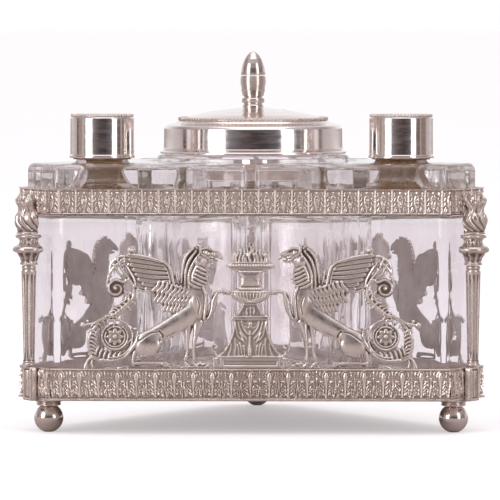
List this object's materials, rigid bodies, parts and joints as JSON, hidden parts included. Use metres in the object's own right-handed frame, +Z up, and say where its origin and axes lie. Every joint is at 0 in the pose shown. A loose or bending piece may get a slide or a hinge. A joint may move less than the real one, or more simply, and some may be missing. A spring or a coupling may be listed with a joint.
{
  "type": "inkwell",
  "caption": "Triangular silver gallery inkstand on ball feet, with griffin reliefs and torch columns, glass corner bottles under push-on caps and a central jar under a domed lid.",
  "frame": {"origin": "middle of the footprint box, on the surface the feet stand on", "axes": "+X to the right along the long front side, +Z up, the front side faces -Y"},
  "size_m": [0.1726, 0.156, 0.138],
  "materials": {
    "chased_silver": "satin",
    "polished_silver": "polished",
    "glass": "cut and polished",
    "cork": "matte"
  },
  "bodies": {
    "stand": {"base_plate": "chased_silver", "lower_gallery_front": "chased_silver", "upper_gallery_front": "chased_silver", "altar_front": "chased_silver", "griffin_front_a": "chased_silver", "griffin_front_b": "chased_silver", "lower_gallery_right": "chased_silver", "upper_gallery_right": "chased_silver", "altar_right": "chased_silver", "griffin_right_a": "chased_silver", "griffin_right_b": "chased_silver", "lower_gallery_left": "chased_silver", "upper_gallery_left": "chased_silver", "altar_left": "chased_silver", "griffin_left_a": "chased_silver", "griffin_left_b": "chased_silver", "lower_gallery_corner_right": "chased_silver", "upper_gallery_corner_right": "chased_silver", "torch_plinth_right": "chased_silver", "torch_shaft_right": "chased_silver", "torch_cup_right": "chased_silver", "torch_flame_right": "chased_silver", "foot_ball_right": "polished_silver", "foot_collar_right": "chased_silver", "lower_gallery_corner_rear": "chased_silver", "upper_gallery_corner_rear": "chased_silver", "torch_plinth_rear": "chased_silver", "torch_shaft_rear": "chased_silver", "torch_cup_rear": "chased_silver", "torch_flame_rear": "chased_silver", "foot_ball_rear": "polished_silver", "foot_collar_rear": "chased_silver", "lower_gallery_corner_left": "chased_silver", "upper_gallery_corner_left": "chased_silver", "torch_plinth_left": "chased_silver", "torch_shaft_left": "chased_silver", "torch_cup_left": "chased_silver", "torch_flame_left": "chased_silver", "foot_ball_left": "polished_silver", "foot_collar_left": "chased_silver"},
    "jar": {"central_jar": "glass"},
    "lid": {"lid_shell": "polished_silver", "lid_bead_ring": "chased_silver", "finial_stem": "polished_silver", "finial_bud": "polished_silver", "finial_nut": "chased_silver"},
    "bottle_right": {"bottle_right": "glass"},
    "cap_right": {"cap_right": "polished_silver", "cap_bead_ring_right": "chased_silver", "cap_cork_right": "cork"},
    "bottle_rear": {"bottle_rear": "glass"},
    "cap_rear": {"cap_rear": "polished_silver", "cap_bead_ring_rear": "chased_silver", "cap_cork_rear": "cork"},
    "bottle_left": {"bottle_left": "glass"},
    "cap_left": {"cap_left": "polished_silver", "cap_bead_ring_left": "chased_silver", "cap_cork_left": "cork"}
  },
  "joints": [
    {"name": "jar_lift", "type": "slide", "parent": "stand", "child": "jar", "axis": [0, 0, 1], "range_m": [0, 0.095]},
    {"name": "lid_lift", "type": "slide", "parent": "jar", "child": "lid", "axis": [0, 0, 1], "range_m": [0, 0.03]},
    {"name": "bottle_right_lift", "type": "slide", "parent": "stand", "child": "bottle_right", "axis": [0, 0, 1], "range_m": [0, 0.09]},
    {"name": "cap_right_lift", "type": "slide", "parent": "bottle_right", "child": "cap_right", "axis": [0, 0, 1], "range_m": [0, 0.025]},
    {"name": "bottle_rear_lift", "type": "slide", "parent": "stand", "child": "bottle_rear", "axis": [0, 0, 1], "range_m": [0, 0.09]},
    {"name": "cap_rear_lift", "type": "slide", "parent": "bottle_rear", "child": "cap_rear", "axis": [0, 0, 1], "range_m": [0, 0.025]},
    {"name": "bottle_left_lift", "type": "slide", "parent": "stand", "child": "bottle_left", "axis": [0, 0, 1], "range_m": [0, 0.09]},
    {"name": "cap_left_lift", "type": "slide", "parent": "bottle_left", "child": "cap_left", "axis": [0, 0, 1], "range_m": [0, 0.025]}
  ]
}
